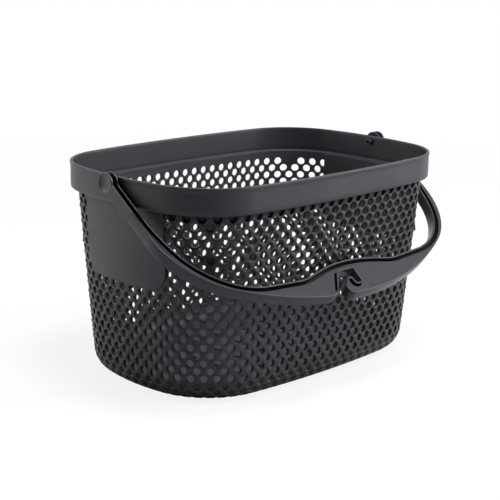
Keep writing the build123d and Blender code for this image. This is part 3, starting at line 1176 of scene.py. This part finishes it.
                def bend(points: Array) -> Array:
                    """Carries a plate onto the corner, where its outside is thinner towards the top.

                    Args:
                        points: width, height and thickness.

                    Returns:
                        Their places.
                    """
                    share = np.clip(self.lug_top_share + 1 - (points[:, 1] - low) / height, 0, 1)
                    out = np.where(points[:, 2] > 0, points[:, 2] * share, points[:, 2])
                    return self.form.patch(middle, np.column_stack([points[:, :2], out]))

                add_slab(shape, contour, -self.lug_sink, self.lug_reach, self.lug_edge, bend)
        shape.build("nesting_lug_wedges", self.finish, "tub", "nesting_lugs")

    def rim_profile(self) -> Array:
        """Closed profile of the rim: band, lip with its rounded crest, inside and sloping ledge.

        Returns:
            Points of inset and height, turning to the left when seen along the outline.
        """
        low, top = self.form.shoulder, self.form.top
        out, back = self.band_insets
        rounding, half = self.band_rounding, self.frame_half
        quarter = np.radians((0, 30, 60, 90))
        under = [(out + rounding * (1 - sin(a)), low + rounding * (1 - cos(a))) for a in quarter]
        levels = [self.band_low, PIVOT_HEIGHT - half, PIVOT_HEIGHT - half / 2, PIVOT_HEIGHT]
        band = [(out, level) for level in levels]
        drops = [(out, 3.15), (0.46, 3.05), (0.1, 2.9), (0.0, 2.5), (0.0, 0.9), (0.2, 0.35), (0.75, 0.05)]
        drops += [(1.5, 0.0), (2.3, 0.05), (2.85, 0.35), (3.05, 0.9), (back, 2.6)]
        lip = [(inset, top - drop) for inset, drop in drops]
        inside = [(back, level) for level in reversed(levels)]
        inner = self.form.shoulder_inset + self.form.wall + self.ledge_overlap
        ledge = low + self.ledge_height
        slope = [(back, ledge + 1.0), (back + 0.2, ledge + 0.9), (inner - 0.2, ledge)]
        foot = [(inner, ledge - 0.2), (inner, low)]
        return np.array([*under, *band, *lip, *inside, *slope, *foot])

    def build_rim(self) -> None:
        """Builds the rim: its profile carried round the outline, with a hole for each pivot stud."""
        form = self.form
        _, end = form.radii(form.rim(0.0))
        near = np.degrees(self.frame_half * np.array((-1.0, -0.5, 0.0, 0.5, 1.0)) / end)
        on_side, on_corner, on_end = self.rim_turns
        side = np.linspace(-form.side_bow, form.side_bow, on_side)
        corner = np.linspace(form.side_bow, 90 - form.end_bow, on_corner)[1:-1]
        outer = np.linspace(near[-1], form.end_bow, on_end)
        end_turns = np.concatenate([-outer[::-1], near[1:-1], outer])
        first = np.concatenate([corner, 90 + end_turns, 180 - corner[::-1]])
        turns = np.concatenate([side, first, 180 + side, 180 + first])
        profile = self.rim_profile()
        x, y = form.place(form.rim(profile[:, 0][None]), turns[:, None])
        rings = np.stack([x, y, np.broadcast_to(profile[:, 1], x.shape)], axis=-1)
        shape = Shape()
        faces = ring_faces(len(turns) + 1, len(profile)) % (len(turns) * len(profile))
        _, y, z = rings.reshape(-1, 3)[faces].mean(axis=1).T
        low, high = self.frame_faces
        framed = (np.abs(y) < self.frame_half) & (z > low) & (z < high)
        shape.add(rings, faces[~framed][:, ::-1])
        for sign, middle in ((-1, 270), (1, 90)):
            columns = np.where(np.abs(turns - middle) < 1.01 * near[-1])[0]
            self.add_pivot_hole(shape, sign, rings[columns], profile)
        shape.build("rim_band_lipped", self.smooth, "tub", "rim_band")

    def add_pivot_hole(self, shape: Shape, sign: int, rings: Array, profile: Array) -> None:
        """Adds the band round one pivot hole: a frame of grid points narrowed to a circle.

        Args:
            shape: gathers the faces.
            sign: end of the rim, 1 for the right and -1 for the left.
            rings: the rim's points near the hole as turns by profile by three.
            profile: the rim's profile.
        """
        low, high = self.frame_ends
        loops = []
        for inset, order in zip(self.band_insets, (1, -1)):
            at_inset = np.abs(profile[:, 0] - inset) < 0.01
            rows = np.where(at_inset & (profile[:, 1] > low) & (profile[:, 1] < high))[0]
            patch = rings[:, rows[::order]]
            loops.append(np.concatenate([patch[:-1, 0], patch[-1, :-1], patch[:0:-1, -1], patch[0, :0:-1]]))
        outer, inner = loops
        angle = np.arctan2(outer[:, 2] - PIVOT_HEIGHT, outer[:, 1] * sign)
        y, z = sign * self.pivot_hole * np.cos(angle), PIVOT_HEIGHT + self.pivot_hole * np.sin(angle)
        circles = [np.column_stack([np.full(len(angle), loop[:, 0].mean()), y, z]) for loop in loops]
        shape.add_rings(np.stack([outer, *circles, inner]))


@dataclass
class Handle:
    """Swinging handle: channel arms with round heads, a hooked bow and hollow studs, in mm and degrees."""

    finish: Material
    tilt: float = 35.3
    arm_inside: float = 192.2
    inner_wall: float = 2.0
    groove: float = 4.4
    outer_wall: float = 2.4
    half: float = 6.0
    groove_depth: float = 7.0
    web_overlap: float = 0.5
    arm_web_overlap: float = 0.4
    arm_web_start: float = 8.3
    arm_end_gap: float = 7.8
    head_radius: float = 10.8
    head_rim: float = 2.0
    head_dish: float = 1.5
    head_fillets: Pair = (3.0, 14.0)
    hub_radius: float = 5.0
    stud_radius: float = 3.2
    stud_bore: float = 1.9
    stud_dimple: float = 1.2
    stud_length: float = 8.7
    stud_root: float = 0.3
    stud_edge: float = 0.5
    bore_edge: float = 0.3
    bow_reach: float = 195.5
    bow_bend: float = 90.0
    bow_sweep: float = 28.187
    hump_reach: float = 154.3
    hump_radius: float = 180.0
    hump_slope: float = 13.5
    hump_flank: float = 16.0
    crown_radius: float = 50.0
    crown_fall: float = 4.0
    bend_radius: float = 83.0
    arm_curve: float = 165.0
    arm_lean: float = 18.0
    plate: float = 3.0
    hook_gap: float = 0.5
    pocket_starts: Pair = (16.0, 56.0)
    pocket_end: float = -128.0
    arc_step: float = 3.0
    turn_step: float = 6.0
    leg_step: float = 8.0
    hook_arc_step: float = 14.0
    recess_arc_step: float = 20.0
    round_points: int = 36
    stud_points: int = 32
    disc_points: int = 45
    fillet_points: int = 5
    arm_points: int = 8
    edge: float = 0.6
    pocket_edge: float = 0.3
    fine_edge: float = 0.05

    @property
    def groove_outside(self) -> float:
        """Distance from the handle's inner edge to the outer side of its groove."""
        return self.inner_wall + self.groove

    @property
    def arm_outside(self) -> float:
        """Outer face of the arms."""
        return self.arm_inside + self.groove_outside + self.outer_wall

    @property
    def arm_length(self) -> float:
        """Distance from the pivot to where an arm runs into the bow."""
        return float(-self.curve(0)[-1, 1] - self.arm_end_gap)

    def in_plane(self, points: Array) -> Array:
        """Carries points of the handle's plane to where the handle hangs, turned about the pivot axis.

        Args:
            points: x, distance up towards the pivot and height across the handle.

        Returns:
            Their places.
        """
        c, s = cos(radians(self.tilt)), sin(radians(self.tilt))
        y = points[:, 1] * c - points[:, 2] * s
        z = PIVOT_HEIGHT + points[:, 1] * s + points[:, 2] * c
        return np.column_stack([points[:, 0], y, z])

    def run(self, start: Pair, legs: Sequence[Pair]) -> Array:
        """Path of arcs and straight legs that set out along +X and run smoothly into each other.

        Args:
            start: first point.
            legs: radius and turn in degrees of each arc, or 0 and a length for a straight leg.

        Returns:
            Points of the path.
        """
        point = np.array(start, float)
        parts = [point[None]]
        angle = 0.0
        for radius, amount in legs:
            if radius == 0:
                share = np.linspace(0, 1, max(2, int(abs(amount) / self.leg_step) + 1))[1:, None]
                part = point + share * amount * np.array((cos(angle), sin(angle)))
            else:
                turn = radians(amount)
                side = np.sign(turn)
                steps = max(radius * abs(turn) / self.arc_step, abs(amount) / self.turn_step)
                count = max(3, int(np.ceil(steps)))
                bends = angle + turn * np.linspace(0, 1, count + 1)[1:]
                middle = point + side * radius * np.array((-sin(angle), cos(angle)))
                part = middle + side * radius * np.stack([np.sin(bends), -np.cos(bends)], axis=1)
                angle += turn
            parts.append(part)
            point = part[-1]
        return np.concatenate(parts)

    def curve(self, offset: float) -> Array:
        """Curved part of the handle's inner edge, from the middle towards the right arm.

        The straight leg before the bend is as long as it takes for the last arc to end at the arm's inside.

        Args:
            offset: how far the edge is moved outwards.

        Returns:
            Points of the path.
        """
        crown_fall, arm_lean = radians(self.crown_fall), radians(self.arm_lean)
        legs = [
            (self.hump_radius - offset, -self.hump_slope),
            (0, self.hump_flank),
            (self.crown_radius + offset, self.hump_slope + self.crown_fall),
        ]
        start = (0.0, -self.hump_reach - offset)
        before = self.run(start, legs)[-1]
        bend_run = (self.bend_radius + offset) * (cos(arm_lean) - sin(crown_fall))
        arm_run = (self.arm_curve + offset) * (1 - cos(arm_lean))
        fall_run = self.arm_inside + offset - before[0] - bend_run - arm_run
        legs += [
            (0, fall_run / cos(crown_fall)),
            (self.bend_radius + offset, 90 - self.arm_lean - self.crown_fall),
            (self.arm_curve + offset, self.arm_lean),
        ]
        return self.run(start, legs)

    def channel(self, offset: float) -> Array:
        """Inner edge of the handle moved outwards, from the middle to the right arm's end."""
        return np.concatenate([self.curve(offset), [[self.arm_inside + offset, -self.arm_length]]])

    def bow(self, inset: float) -> Array:
        """Outer edge of the handle, from the middle to the right arm's end: two arcs and a straight leg.

        Args:
            inset: how far the edge is moved inwards.

        Returns:
            Points of the path.
        """
        radius = self.bow_bend + (self.arm_outside - self.bow_bend) / sin(radians(self.bow_sweep))
        legs = [(radius - inset, self.bow_sweep), (self.bow_bend - inset, 90 - self.bow_sweep)]
        path = self.run((0.0, inset - self.bow_reach), legs)
        return np.concatenate([path, [[self.arm_outside - inset, -self.arm_length]]])

    @staticmethod
    def mirrored(path: Array) -> Array:
        """Whole path from the left arm's end to the right arm's end."""
        return np.concatenate([path[:0:-1] * (-1, 1), path])

    def ribbon(self, outer: float, inner: float) -> Array:
        """Contour between the inner edge moved outwards by two distances, turning to the left."""
        return np.concatenate([self.mirrored(self.channel(outer)), self.mirrored(self.channel(inner))[::-1]])

    def hook_path(self) -> Array:
        """Edge of the hook slot from its left mouth, over the pocket and the tongue, to its right mouth.

        Returns:
            Points of the path.
        """
        left_mouth = [(-46.5, -192.15, 0.0), (-38.2, -190.4, 9.0)]
        pocket = [(-16.8, -165.8, 1.2), (4.4, -165.8, 2.6), (2.6, -183.5, 2.8), (-5.7, -183.5, 3.0)]
        tongue = [(-5.7, -174.2, 2.2), (-11.6, -174.2, 3.6), (-22.4, -184.4, 5.0)]
        right_mouth = [(-22.0, -192.6, 5.0), (-16.0, -195.1, 0.0)]
        return rounded_corners([*left_mouth, *pocket, *tongue, *right_mouth], self.hook_arc_step)

    def hook_recesses(self) -> tuple[Recess, Recess]:
        """Recesses along the hook slot, sunk to the middle of the handle.

        Returns:
            The slit beside the slot's straight side and the crescent inside its tongue.
        """
        slit = np.array([(-24.6, -167.0), (-40.2, -186.1), (-38.3, -187.7), (-36.9, -186.6), (-21.0, -166.6)])
        start = (-13.6, -181.0, 0.0)
        lower = [(-13.4, -186.4, 3.0), (-8.6, -189.2, 4.0), (-1.4, -187.6, 1.2)]
        upper = [(-1.2, -185.6, 0.6), (-8.4, -185.6, 4.0), (-8.2, -177.0, 1.6), (-13.2, -177.0, 2.4)]
        crescent = rounded_corners([start, *lower, *upper, start], self.recess_arc_step)[:-1]
        return Recess(slit, 0.0), Recess(crescent, 0.0)

    def back_pockets(self) -> list[Array]:
        """Hollows under the bow's plate, between the bow's outer edge and its groove.

        Returns:
            Contours right and left of the hook.
        """
        outer = self.bow(self.outer_wall)
        inner = self.channel(self.groove_outside + self.inner_wall)
        gap = np.interp(outer[:, 0], inner[:, 0], inner[:, 1]) - outer[:, 1]
        pockets = []
        for near in self.pocket_starts:
            low = outer[(outer[:, 0] > near) & (outer[:, 1] < self.pocket_end) & (gap > self.outer_wall)]
            high = inner[(inner[:, 0] > near) & (inner[:, 0] < low[-1, 0])]
            pockets.append(np.concatenate([low, high[::-1]]))
        right, left = pockets
        return [right, (left * (-1, 1))[::-1]]

    def build_bow(self) -> None:
        """Builds the bow: an inner ribbon, the groove's floor and the outer plate with its hook."""
        shape = Shape()
        top, outside, overlap = self.half, self.groove_outside, self.web_overlap
        add_slab(shape, self.ribbon(self.inner_wall, 0), -top, top, self.edge, self.in_plane)
        web = self.ribbon(outside + overlap, self.inner_wall - overlap)
        web_top = top - self.groove_depth
        add_slab(shape, web, -top + self.fine_edge, web_top, self.fine_edge, self.in_plane)
        outer_edge = self.mirrored(self.bow(0))
        hook = self.hook_path()
        left = outer_edge[outer_edge[:, 0] < hook[0, 0] - self.hook_gap]
        right = outer_edge[outer_edge[:, 0] > hook[-1, 0] + self.hook_gap]
        contour = np.concatenate([left, hook, right, self.mirrored(self.channel(outside))[::-1]])
        pockets = [Recess(pocket, top - self.plate, self.pocket_edge) for pocket in self.back_pockets()]
        add_slab(shape, contour, -top, top, self.edge, self.in_plane, self.hook_recesses(), pockets)
        shape.build("handle_bow_hooked", self.finish, "handle", "handle_bow")

    def build_arms(self) -> None:
        """Builds both arms: two walls that end in discs, the web between them and the hub of the pivot."""
        disc = self.head_outline()
        dish = circle(self.head_radius - self.head_rim, self.round_points)
        sunk = Recess(dish, self.arm_outside - self.head_dish, self.pocket_edge, True)
        first, second = self.arm_inside + self.inner_wall, self.arm_inside + self.groove_outside
        overlap = self.arm_web_overlap
        low, high = -self.half + self.fine_edge, self.half - self.groove_depth
        start, stop = self.arm_web_start, self.arm_length
        web = np.array([(low, start), (high, start), (high, stop), (low, stop)])
        for side, sign in (("right", 1), ("left", -1)):

            def bend(points: Array) -> Array:
                """Carries a plate to the arm's place on its side.

                Args:
                    points: height across the handle, distance from the pivot and x.

                Returns:
                    Their places.
                """
                turned = np.column_stack([points[:, 2], -points[:, 1], points[:, 0]])
                return self.in_plane(turned) * (sign, 1, 1)

            shape = Shape()
            add_slab(shape, disc, self.arm_inside, first, self.edge, bend)
            add_slab(shape, disc, second, self.arm_outside, self.edge, bend, top=[sunk])
            for block in (web, circle(self.hub_radius, self.round_points)):
                add_slab(shape, block, first - overlap, second + overlap, self.fine_edge, bend)
            if sign < 0:
                shape.faces = [faces[:, ::-1] for faces in shape.faces]
            shape.build(f"handle_{side}_arm_channel", self.finish, "handle", f"handle_{side}_arm")

    def head_outline(self) -> Array:
        """Side view of an arm: straight edges that run through fillets into a disc round the pivot.

        Each fillet is an arc that touches the straight edge and the disc, so its middle lies a fillet's
        radius from the edge and both radii from the pivot.

        Returns:
            Points of height across the handle and distance from the pivot, turning to the left.
        """
        radius = self.head_radius
        sides = []
        for fillet in self.head_fillets:
            across = self.half + fillet
            start = float(np.sqrt((radius + fillet) ** 2 - across ** 2))
            meet = np.arctan2(across, start)
            turn = np.linspace(0, pi / 2 - meet, self.fillet_points + 1)[:-1]
            arc = np.column_stack([across - fillet * np.cos(turn), start - fillet * np.sin(turn)])
            down = np.linspace(self.arm_length, start, self.arm_points + 1)[:-1]
            edge = np.column_stack([np.full(self.arm_points, self.half), down])
            sides.append((np.concatenate([edge, arc]), meet))
        (upper, first), (lower, last) = sides
        turn = np.linspace(first, 2 * pi - last, self.disc_points)
        disc = radius * np.column_stack([np.sin(turn), np.cos(turn)])
        return np.concatenate([upper, disc, lower[::-1] * (-1, 1)])[::-1]

    def build_studs(self) -> None:
        """Builds the studs: a profile of radius and x turned round the pivot axis."""
        start, stop = self.arm_inside + self.stud_root, self.arm_inside - self.stud_length
        r, bore, floor = self.stud_radius, self.stud_bore, stop + self.stud_dimple
        edge, lip = self.stud_edge, self.bore_edge
        corner = (r - 0.3 * edge, stop + 0.3 * edge)
        outside = [(0.0, start), (r, start), (r, stop + edge), corner, (r - edge, stop)]
        inside = [(bore + lip, stop), (bore, stop + lip), (bore, floor), (0.0, floor)]
        profile = np.array(outside + inside)
        round_axis = circle(1.0, self.stud_points)
        for side, sign in (("right", 1), ("left", -1)):
            radius, x = profile[:, :1], profile[:, 1:]
            y, z = radius * round_axis[:, 0], PIVOT_HEIGHT + radius * round_axis[:, 1]
            rings = np.stack([sign * np.broadcast_to(x, y.shape), y, z], axis=-1)
            shape = Shape()
            shape.add_rings(rings[:, ::-1] if sign > 0 else rings)
            shape.build(f"{side}_pivot_stud_hollow", self.finish, "handle", f"{side}_pivot_stud")


@dataclass(frozen=True)
class Lamp:
    """Square soft lamp, in metres and watts."""

    name: str
    place: Triple
    size: float
    power: float
    colour: Triple = (1.0, 1.0, 1.0)

    def add(self, target: Vector) -> None:
        """Adds the lamp.

        Args:
            target: point that it faces, in metres.
        """
        data = bpy.data.lights.new(self.name, "AREA")
        data.size = self.size
        data.energy = self.power
        data.color = self.colour
        lamp = bpy.data.objects.new(self.name, data)
        away = Vector(self.place) - target
        lamp.matrix_world = Matrix.Translation(self.place) @ away.to_track_quat("Z", "Y").to_matrix().to_4x4()
        bpy.context.scene.collection.objects.link(lamp)


@dataclass(frozen=True)
class Studio:
    """Pale floor, soft lamps and the camera at the photograph's angle."""

    azimuth: float = -44.53
    elevation: float = 14.56
    distance: float = 1.35634
    target: Triple = (0.0, 0.0, 0.110)
    focal_pixels: float = 1251.44
    middle: Pair = (253.58, 253.86)
    roll: float = 0.95
    image: float = 500.0
    sensor: float = 36.0
    nearest: float = 0.05
    room_side: Triple = (0.70, 0.71, 0.0)
    room_range: Pair = (0.2, 1.0)
    room_dark: Triple = (0.01, 0.01, 0.01)
    floor_half: float = 6.0
    floor_pale: Pair = (0.45, 0.9)
    fade_range: Pair = (0.3, 1.6)
    fade_share: Pair = (0.85, 1.0)
    mirror_side: Triple = (0.5, 0.87, 0.0)
    mirror_range: Pair = (-0.1, 0.1)
    lamps: tuple[Lamp, ...] = (
        Lamp("overhead", (0.0, -0.4, 1.85), 0.5, 29.0, (0.86, 0.95, 1.0)),
        Lamp("right_high", (1.07, -1.05, 1.3), 1.0, 17.0),
        Lamp("right", (1.28, -1.26, 0.8), 1.2, 12.0),
        Lamp("right_low", (1.28, -1.26, 0.35), 1.0, 5.0),
        Lamp("left", (-1.28, 1.26, 0.8), 1.2, 13.0),
        Lamp("front_right", (0.02, -1.84, 0.8), 1.2, 1.2),
    )

    def add_camera(self) -> None:
        """Places the camera, with the small shift and roll of the photograph's framing."""
        az, el = radians(self.azimuth), radians(self.elevation)
        back = Vector((sin(az) * cos(el), -cos(az) * cos(el), sin(el)))
        data = bpy.data.cameras.new("camera")
        data.sensor_width = self.sensor
        data.lens = self.focal_pixels / self.image * self.sensor
        data.shift_x = -(self.middle[0] - self.image / 2) / self.image
        data.shift_y = (self.middle[1] - self.image / 2) / self.image
        data.clip_start = self.nearest
        camera = bpy.data.objects.new("camera", data)
        place = Vector(self.target) + back * self.distance
        turn = back.to_track_quat("Z", "Y").to_matrix().to_4x4()
        camera.matrix_world = Matrix.Translation(place) @ turn @ Matrix.Rotation(radians(self.roll), 4, "Z")
        bpy.context.scene.collection.objects.link(camera)
        bpy.context.scene.camera = camera

    def add_world(self) -> None:
        """Makes the world: white to the camera, and to other rays a room that is bright behind the basket."""
        world = bpy.data.worlds.new("studio")
        bpy.context.scene.world = world
        wiring = Wiring(world)
        ray = wiring.add("LightPath")
        place = wiring.add("TexCoord")["Generated"]
        behind = wiring.add("VectorMath", {0: place, 1: self.room_side}, operation="DOT_PRODUCT")["Value"]
        shade = wiring.ramp(behind, self.room_range, (self.room_dark, (1, 1, 1)), "EASE")
        room = wiring.add("Background", {"Color": shade})["Background"]
        white = wiring.add("Background", {"Color": (1, 1, 1, 1)})["Background"]
        direct = {0: ray["Is Camera Ray"], 1: ray["Is Transmission Ray"]}
        seen = wiring.add("Math", direct, operation="MAXIMUM")["Value"]
        mix = wiring.add("MixShader", {"Fac": seen, 1: room, 2: white})["Shader"]
        wiring.add("OutputWorld", {"Surface": mix})

    def add_floor(self) -> None:
        """Lays a wide pale floor that keeps the basket's shadow and fades into the white behind it.

        The camera sees a share of plain white that grows with the distance from the basket, and the rest is
        matte. Reflections see it white behind the basket and on its right.
        """
        size = self.floor_half
        mesh = bpy.data.meshes.new("floor")
        corners = [(-size, -size, 0), (size, -size, 0), (size, size, 0), (-size, size, 0)]
        mesh.from_pydata(corners, [], [(0, 1, 2, 3)])
        material = bpy.data.materials.new("pale_floor")
        wiring = Wiring(material)
        ray = wiring.add("LightPath")
        place = wiring.add("TexCoord")["Object"]
        pale = wiring.remap(ray["Is Camera Ray"], (0.0, 1.0), self.floor_pale)
        matte = wiring.add("BsdfDiffuse", {"Color": pale})["BSDF"]
        glow = wiring.add("Emission", {"Color": (1, 1, 1, 1)})["Emission"]
        away = wiring.add("VectorMath", {0: place}, operation="LENGTH")["Value"]
        fade = wiring.remap(away, self.fade_range, self.fade_share)
        share = wiring.add("Math", {0: ray["Is Camera Ray"], 1: fade}, operation="MULTIPLY")["Value"]
        side = wiring.add("VectorMath", {0: place, 1: self.mirror_side}, operation="DOT_PRODUCT")["Value"]
        reflected = {0: ray["Is Glossy Ray"], 1: wiring.remap(side, self.mirror_range), 2: share}
        white = wiring.add("Math", reflected, operation="MULTIPLY_ADD")["Value"]
        mix = wiring.add("MixShader", {"Fac": white, 1: matte, 2: glow})["Shader"]
        wiring.add("OutputMaterial", {"Surface": mix})
        mesh.materials.append(material)
        floor = bpy.data.objects.new("floor", mesh)
        bpy.context.scene.collection.objects.link(floor)

    def build(self) -> None:
        """Sets up camera, world, floor and lamps."""
        bpy.context.scene.view_settings.view_transform = "Standard"
        self.add_camera()
        self.add_world()
        self.add_floor()
        for lamp in self.lamps:
            lamp.add(Vector(self.target))


WALL_COLOURS = ((0.0300, 0.0286, 0.0332), (0.0420, 0.0400, 0.0465))
SMOOTH_COLOURS = ((0.0340, 0.0325, 0.0380), (0.0440, 0.0420, 0.0492))
HANDLE_COLOURS = ((0.0290, 0.0277, 0.0325), (0.0380, 0.0363, 0.0425))
WALL_ROUGHNESS = (0.40, 0.52)
# The last two numbers of each finish set how dark the painted shade in cavities gets and how far it reaches
WALL_FINISH = PlasticFinish("charcoal_lattice_plastic", *WALL_COLOURS, WALL_ROUGHNESS, 0.25, 0.12, 12.0)
BASE_FINISH = PlasticFinish("charcoal_base_plastic", *WALL_COLOURS, WALL_ROUGHNESS, 0.25, 0.6, 5.0)
SMOOTH_FINISH = PlasticFinish("charcoal_smooth_plastic", *SMOOTH_COLOURS, (0.38, 0.48), 0.35)
HANDLE_FINISH = PlasticFinish("charcoal_handle_plastic", *HANDLE_COLOURS, (0.27, 0.35), 0.30)


def main() -> None:
    """Builds the basket in order, then the studio round it."""
    logging.basicConfig(level=logging.INFO, format="%(message)s")
    tub = Tub(TubForm(), WALL_FINISH.material(), SMOOTH_FINISH.material(), BASE_FINISH.material())
    tub.build_walls()
    tub.build_base()
    tub.build_rim()
    tub.build_panels()
    tub.build_lugs()
    handle = Handle(HANDLE_FINISH.material())
    handle.build_bow()
    handle.build_arms()
    handle.build_studs()
    Studio().build()


if __name__ == "__main__":
    main()
